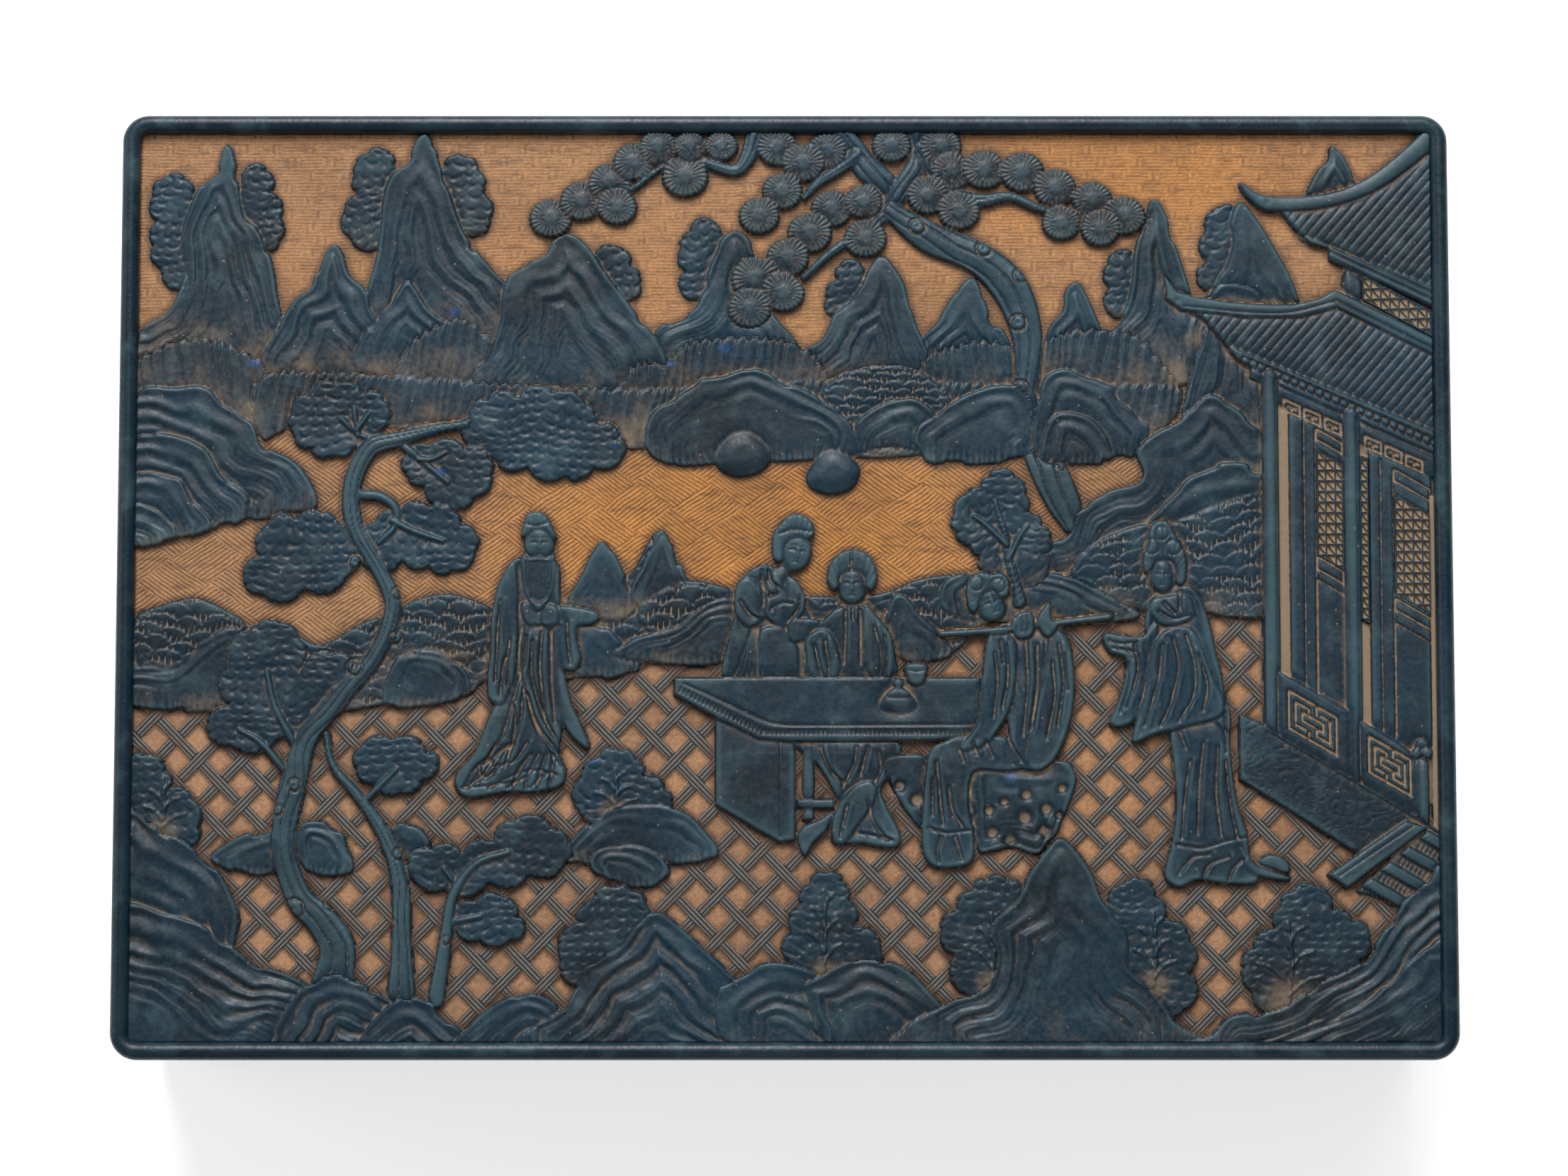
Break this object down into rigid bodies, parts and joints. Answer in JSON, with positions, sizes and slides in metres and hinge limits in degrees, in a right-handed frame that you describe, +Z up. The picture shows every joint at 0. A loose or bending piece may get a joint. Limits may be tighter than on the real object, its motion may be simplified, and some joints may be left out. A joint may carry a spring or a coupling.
{
  "type": "ink stone box",
  "caption": "Rectangular carved-lacquer box with a lift-off cover, a footed base and fitted wells for an ink stone and an ink stick.",
  "frame": {"origin": "middle of the plane that the foot stands on", "axes": "+Z up, +X along the long side; the picture's right is +X and its top is +Y"},
  "size_m": [0.3, 0.213, 0.077],
  "materials": {
    "wood": "planed softwood under the lacquer",
    "ochre_lacquer": "ochre ground coat, satin",
    "dark_lacquer": "dark blue-green carved lacquer, satin",
    "inner_lacquer": "black lacquer, satin",
    "insert_lacquer": "red-brown lacquered wood",
    "ink_stone": "dark slate, honed",
    "ink_stick": "pressed soot ink, matt"
  },
  "bodies": {
    "base": {"base_back_board": "wood", "base_floor_panel": "wood", "base_foot": "dark_lacquer", "base_front_board": "wood", "base_left_board": "wood", "base_locating_lip": "inner_lacquer", "base_mouth_band": "dark_lacquer", "base_right_board": "wood", "base_side_fret": "dark_lacquer", "base_side_ground": "ochre_lacquer", "base_skirt_band": "dark_lacquer", "insert_back_rail": "insert_lacquer", "insert_divider": "insert_lacquer", "insert_front_rail": "insert_lacquer", "insert_left_rail": "insert_lacquer", "insert_right_rail": "insert_lacquer"},
    "cover": {"cover_back_board": "wood", "cover_front_board": "wood", "cover_left_board": "wood", "cover_mouth_band": "dark_lacquer", "cover_right_board": "wood", "cover_rim": "dark_lacquer", "cover_side_fret": "dark_lacquer", "cover_side_ground": "ochre_lacquer", "cover_top_carved_coat": "dark_lacquer", "cover_top_ground": "ochre_lacquer", "cover_top_panel": "wood"},
    "stone": {"ink_stone": "ink_stone"},
    "stick": {"ink_stick": "ink_stick"}
  },
  "joints": [
    {"name": "cover_lift", "type": "slide", "parent": "base", "child": "cover", "axis": [0, 0, 1], "range_m": [0, 0.12]},
    {"name": "stone_lift", "type": "slide", "parent": "base", "child": "stone", "axis": [0, 0, 1], "range_m": [0, 0.024]},
    {"name": "stick_lift", "type": "slide", "parent": "base", "child": "stick", "axis": [0, 0, 1], "range_m": [0, 0.034]}
  ]
}
